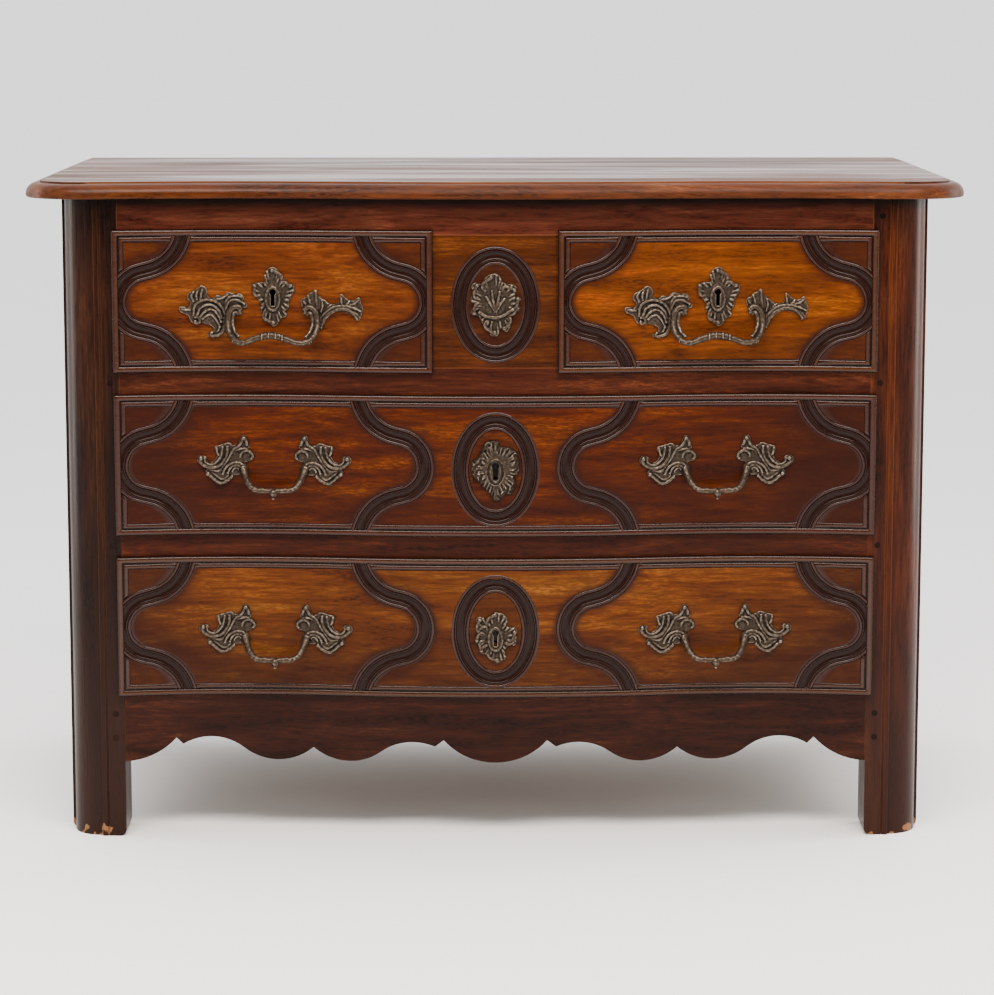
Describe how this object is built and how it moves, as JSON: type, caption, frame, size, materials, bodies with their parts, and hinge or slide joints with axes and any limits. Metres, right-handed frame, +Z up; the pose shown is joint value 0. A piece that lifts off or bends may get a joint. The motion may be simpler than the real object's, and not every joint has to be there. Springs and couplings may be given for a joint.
{
  "type": "commode",
  "caption": "Serpentine-front walnut commode with carved, lipped drawers above a scalloped apron, a moulded top, bronze leaf handles and key plates over working lock bolts.",
  "frame": {"origin": "on the floor under the middle of the whole commode", "axes": "+X to the viewer's right along the front, +Y from the front to the back, +Z up"},
  "size_m": [1.25, 0.6519, 0.89],
  "materials": {
    "walnut": "waxed and French polished",
    "secondary_wood": "bare, aged",
    "bronze": "cast, worn patina",
    "iron": "forged, oiled"
  },
  "bodies": {
    "carcass": {"top_front_board": "walnut", "top_back_board": "walnut", "front_left_stile": "walnut", "front_right_stile": "walnut", "rear_left_stile": "walnut", "rear_right_stile": "walnut", "left_side_upper_rail": "walnut", "left_side_lower_rail": "walnut", "left_side_panel": "walnut", "right_side_upper_rail": "walnut", "right_side_lower_rail": "walnut", "right_side_panel": "walnut", "back_upper_rail": "secondary_wood", "back_lower_rail": "secondary_wood", "back_panel": "secondary_wood", "front_top_rail": "walnut", "upper_drawer_rail": "walnut", "lower_drawer_rail": "walnut", "front_apron": "walnut", "centre_panel": "walnut", "centre_mount": "bronze", "side_runners": "secondary_wood", "centre_runner": "secondary_wood", "frame_pegs": "secondary_wood"},
    "upper_left_drawer": {"upper_left_drawer_front": "walnut", "upper_left_drawer_left_side": "secondary_wood", "upper_left_drawer_right_side": "secondary_wood", "upper_left_drawer_back": "secondary_wood", "upper_left_drawer_bottom": "secondary_wood", "upper_left_drawer_lock_case": "iron", "upper_left_drawer_escutcheon": "bronze", "upper_left_drawer_handle": "bronze"},
    "upper_left_drawer_lock_bolt": {"upper_left_drawer_lock_bolt": "iron"},
    "upper_right_drawer": {"upper_right_drawer_front": "walnut", "upper_right_drawer_left_side": "secondary_wood", "upper_right_drawer_right_side": "secondary_wood", "upper_right_drawer_back": "secondary_wood", "upper_right_drawer_bottom": "secondary_wood", "upper_right_drawer_lock_case": "iron", "upper_right_drawer_escutcheon": "bronze", "upper_right_drawer_handle": "bronze"},
    "upper_right_drawer_lock_bolt": {"upper_right_drawer_lock_bolt": "iron"},
    "middle_drawer": {"middle_drawer_front": "walnut", "middle_drawer_left_side": "secondary_wood", "middle_drawer_right_side": "secondary_wood", "middle_drawer_back": "secondary_wood", "middle_drawer_bottom": "secondary_wood", "middle_drawer_lock_case": "iron", "middle_drawer_escutcheon": "bronze", "middle_drawer_handles": "bronze"},
    "middle_drawer_lock_bolt": {"middle_drawer_lock_bolt": "iron"},
    "lower_drawer": {"lower_drawer_front": "walnut", "lower_drawer_left_side": "secondary_wood", "lower_drawer_right_side": "secondary_wood", "lower_drawer_back": "secondary_wood", "lower_drawer_bottom": "secondary_wood", "lower_drawer_lock_case": "iron", "lower_drawer_escutcheon": "bronze", "lower_drawer_handles": "bronze"},
    "lower_drawer_lock_bolt": {"lower_drawer_lock_bolt": "iron"}
  },
  "joints": [
    {"name": "upper_left_drawer_slide", "type": "slide", "parent": "carcass", "child": "upper_left_drawer", "axis": [0, -1, 0], "range_m": [0, 0.42]},
    {"name": "upper_left_drawer_lock_bolt_slide", "type": "slide", "parent": "upper_left_drawer", "child": "upper_left_drawer_lock_bolt", "axis": [0, 0, 1], "range_m": [0, 0.01]},
    {"name": "upper_right_drawer_slide", "type": "slide", "parent": "carcass", "child": "upper_right_drawer", "axis": [0, -1, 0], "range_m": [0, 0.42]},
    {"name": "upper_right_drawer_lock_bolt_slide", "type": "slide", "parent": "upper_right_drawer", "child": "upper_right_drawer_lock_bolt", "axis": [0, 0, 1], "range_m": [0, 0.01]},
    {"name": "middle_drawer_slide", "type": "slide", "parent": "carcass", "child": "middle_drawer", "axis": [0, -1, 0], "range_m": [0, 0.42]},
    {"name": "middle_drawer_lock_bolt_slide", "type": "slide", "parent": "middle_drawer", "child": "middle_drawer_lock_bolt", "axis": [0, 0, 1], "range_m": [0, 0.01]},
    {"name": "lower_drawer_slide", "type": "slide", "parent": "carcass", "child": "lower_drawer", "axis": [0, -1, 0], "range_m": [0, 0.42]},
    {"name": "lower_drawer_lock_bolt_slide", "type": "slide", "parent": "lower_drawer", "child": "lower_drawer_lock_bolt", "axis": [0, 0, 1], "range_m": [0, 0.01]}
  ]
}
